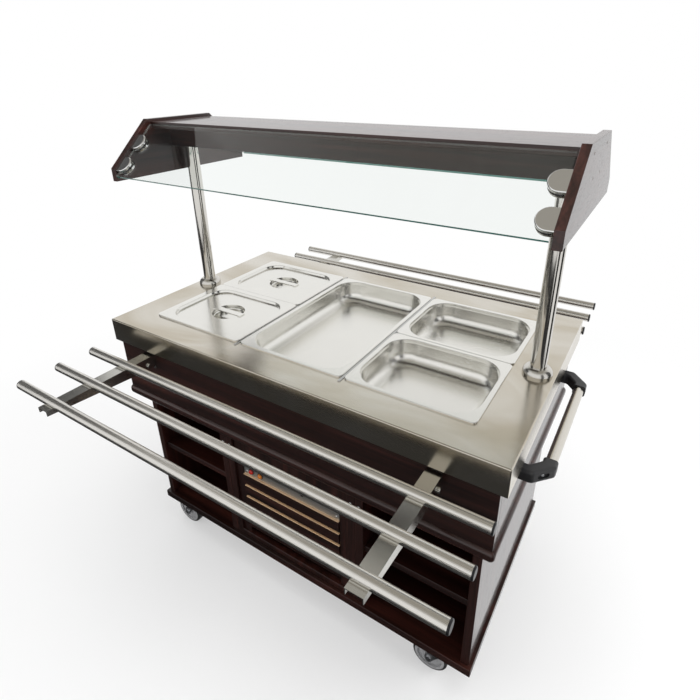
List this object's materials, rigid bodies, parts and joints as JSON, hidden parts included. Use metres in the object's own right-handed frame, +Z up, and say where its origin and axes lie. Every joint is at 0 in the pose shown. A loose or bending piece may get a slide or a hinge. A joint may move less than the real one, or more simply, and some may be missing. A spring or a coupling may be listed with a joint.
{
  "type": "hot buffet counter",
  "caption": "Wheeled wooden buffet counter with a heated well of lift-out steel pans, a glazed canopy on posts, folding tray rails along both sides and push handles at the ends.",
  "frame": {"origin": "on the floor, under the middle of the counter", "axes": "+X along the counter to the right, +Y to the rear, +Z up; the control plate faces -Y"},
  "size_m": [1.301, 1.312, 1.384],
  "materials": {
    "wood": "dark brown wood-grain laminate, satin",
    "worktop_steel": "brushed stainless sheet",
    "well_steel": "plain stainless sheet",
    "pan_steel": "satin pressed stainless",
    "element_steel": "heat-tinted steel sheath",
    "drain_brass": "plain brass",
    "red_paint": "gloss red coating",
    "polished_steel": "polished",
    "tube_steel": "brushed stainless tube and sheet",
    "clear_glass": "clear with a green edge",
    "black_plastic": "fine moulded texture",
    "pale_plastic": "moulded",
    "red_lens": "clear red dome",
    "orange_lens": "clear orange dome",
    "zinc_steel": "zinc plated",
    "grey_wheel": "grey tread on a grey core"
  },
  "bodies": {
    "counter": {"back_panel": "wood", "base_board": "wood", "canopy_beam": "wood", "canopy_end_left": "wood", "canopy_end_right": "wood", "canopy_glass": "clear_glass", "canopy_posts": "polished_steel", "canopy_top_board": "wood", "castor_plates": "zinc_steel", "control_plate": "worktop_steel", "divider_boards": "wood", "drain_pipe": "drain_brass", "drain_valve": "drain_brass", "glass_clamps": "polished_steel", "handle_brackets": "black_plastic", "handle_tubes": "tube_steel", "heating_element": "element_steel", "hinge_brackets": "tube_steel", "lamp_bezels": "black_plastic", "louvre_frame": "wood", "louvre_slats": "wood", "pan_bars": "well_steel", "pilot_lamp": "orange_lens", "post_flanges": "polished_steel", "shelves": "wood", "side_panel_left": "wood", "side_panel_right": "wood", "thermostat": "pale_plastic", "upper_end_panels": "wood", "upper_front_panel": "wood", "upper_rear_panel": "wood", "waist_board": "wood", "water_well": "well_steel", "worktop": "worktop_steel"},
    "power_button": {"power_button": "red_lens"},
    "thermostat_knob": {"thermostat_knob": "black_plastic"},
    "drain_lever": {"drain_lever": "red_paint"},
    "pan_left_front": {"pan_left_front": "pan_steel"},
    "pan_left_rear": {"pan_left_rear": "pan_steel"},
    "pan_centre": {"pan_centre": "pan_steel"},
    "pan_right_front": {"pan_right_front": "pan_steel"},
    "pan_right_rear": {"pan_right_rear": "pan_steel"},
    "lid_front": {"lid_front": "pan_steel"},
    "lid_rear": {"lid_rear": "pan_steel"},
    "front_slide": {"front_rails": "tube_steel", "front_arms": "tube_steel", "front_rail_caps": "black_plastic"},
    "rear_slide": {"rear_rails": "tube_steel", "rear_arms": "tube_steel", "rear_rail_caps": "black_plastic"},
    "fork_front_left": {"castor_fork_front_left": "zinc_steel"},
    "wheel_front_left": {"castor_wheel_front_left": "grey_wheel"},
    "fork_front_right": {"castor_fork_front_right": "zinc_steel"},
    "wheel_front_right": {"castor_wheel_front_right": "grey_wheel"},
    "fork_rear_left": {"castor_fork_rear_left": "zinc_steel"},
    "wheel_rear_left": {"castor_wheel_rear_left": "grey_wheel"},
    "fork_rear_right": {"castor_fork_rear_right": "zinc_steel"},
    "wheel_rear_right": {"castor_wheel_rear_right": "grey_wheel"},
    "pedal_left": {"brake_pedal_left": "zinc_steel"},
    "pedal_right": {"brake_pedal_right": "zinc_steel"}
  },
  "joints": [
    {"name": "power_button_press", "type": "slide", "parent": "counter", "child": "power_button", "axis": [0, 1, 0], "range_m": [0, 0.003], "stiffness_N_per_m": 300},
    {"name": "thermostat_turn", "type": "hinge", "parent": "counter", "child": "thermostat_knob", "pos_m": [0.06, -0.2935, 0.47], "axis": [0, 1, 0], "range_deg": [0, 270]},
    {"name": "drain_turn", "type": "hinge", "parent": "counter", "child": "drain_lever", "pos_m": [0, 0.242, 0.5105], "axis": [0, 0, 1], "range_deg": [0, 90]},
    {"name": "pan_left_front_lift", "type": "slide", "parent": "counter", "child": "pan_left_front", "axis": [0, 0, 1], "range_m": [0, 0.12]},
    {"name": "pan_left_rear_lift", "type": "slide", "parent": "counter", "child": "pan_left_rear", "axis": [0, 0, 1], "range_m": [0, 0.12]},
    {"name": "pan_centre_lift", "type": "slide", "parent": "counter", "child": "pan_centre", "axis": [0, 0, 1], "range_m": [0, 0.12]},
    {"name": "pan_right_front_lift", "type": "slide", "parent": "counter", "child": "pan_right_front", "axis": [0, 0, 1], "range_m": [0, 0.12]},
    {"name": "pan_right_rear_lift", "type": "slide", "parent": "counter", "child": "pan_right_rear", "axis": [0, 0, 1], "range_m": [0, 0.12]},
    {"name": "lid_front_lift", "type": "slide", "parent": "pan_left_front", "child": "lid_front", "axis": [0, 0, 1], "range_m": [0, 0.1]},
    {"name": "lid_rear_lift", "type": "slide", "parent": "pan_left_rear", "child": "lid_rear", "axis": [0, 0, 1], "range_m": [0, 0.1]},
    {"name": "front_slide_fold", "type": "hinge", "parent": "counter", "child": "front_slide", "pos_m": [0, -0.368, 0.74], "axis": [1, 0, 0], "range_deg": [0, 90]},
    {"name": "rear_slide_fold", "type": "hinge", "parent": "counter", "child": "rear_slide", "pos_m": [0, 0.368, 0.74], "axis": [-1, 0, 0], "range_deg": [0, 90]},
    {"name": "swivel_front_left", "type": "hinge", "parent": "counter", "child": "fork_front_left", "pos_m": [-0.475, -0.262, 0.115], "axis": [0, 0, 1], "continuous": true},
    {"name": "roll_front_left", "type": "hinge", "parent": "fork_front_left", "child": "wheel_front_left", "pos_m": [-0.51, -0.262, 0.05], "axis": [0, 1, 0], "continuous": true},
    {"name": "swivel_front_right", "type": "hinge", "parent": "counter", "child": "fork_front_right", "pos_m": [0.475, -0.262, 0.115], "axis": [0, 0, 1], "continuous": true},
    {"name": "roll_front_right", "type": "hinge", "parent": "fork_front_right", "child": "wheel_front_right", "pos_m": [0.44, -0.262, 0.05], "axis": [0, 1, 0], "continuous": true},
    {"name": "swivel_rear_left", "type": "hinge", "parent": "counter", "child": "fork_rear_left", "pos_m": [-0.475, 0.262, 0.115], "axis": [0, 0, 1], "continuous": true},
    {"name": "roll_rear_left", "type": "hinge", "parent": "fork_rear_left", "child": "wheel_rear_left", "pos_m": [-0.51, 0.262, 0.05], "axis": [0, 1, 0], "continuous": true},
    {"name": "swivel_rear_right", "type": "hinge", "parent": "counter", "child": "fork_rear_right", "pos_m": [0.475, 0.262, 0.115], "axis": [0, 0, 1], "continuous": true},
    {"name": "roll_rear_right", "type": "hinge", "parent": "fork_rear_right", "child": "wheel_rear_right", "pos_m": [0.44, 0.262, 0.05], "axis": [0, 1, 0], "continuous": true},
    {"name": "brake_left", "type": "hinge", "parent": "fork_rear_left", "child": "pedal_left", "pos_m": [-0.552, 0.262, 0.09], "axis": [0, -1, 0], "range_deg": [0, 20]},
    {"name": "brake_right", "type": "hinge", "parent": "fork_rear_right", "child": "pedal_right", "pos_m": [0.398, 0.262, 0.09], "axis": [0, -1, 0], "range_deg": [0, 20]}
  ]
}
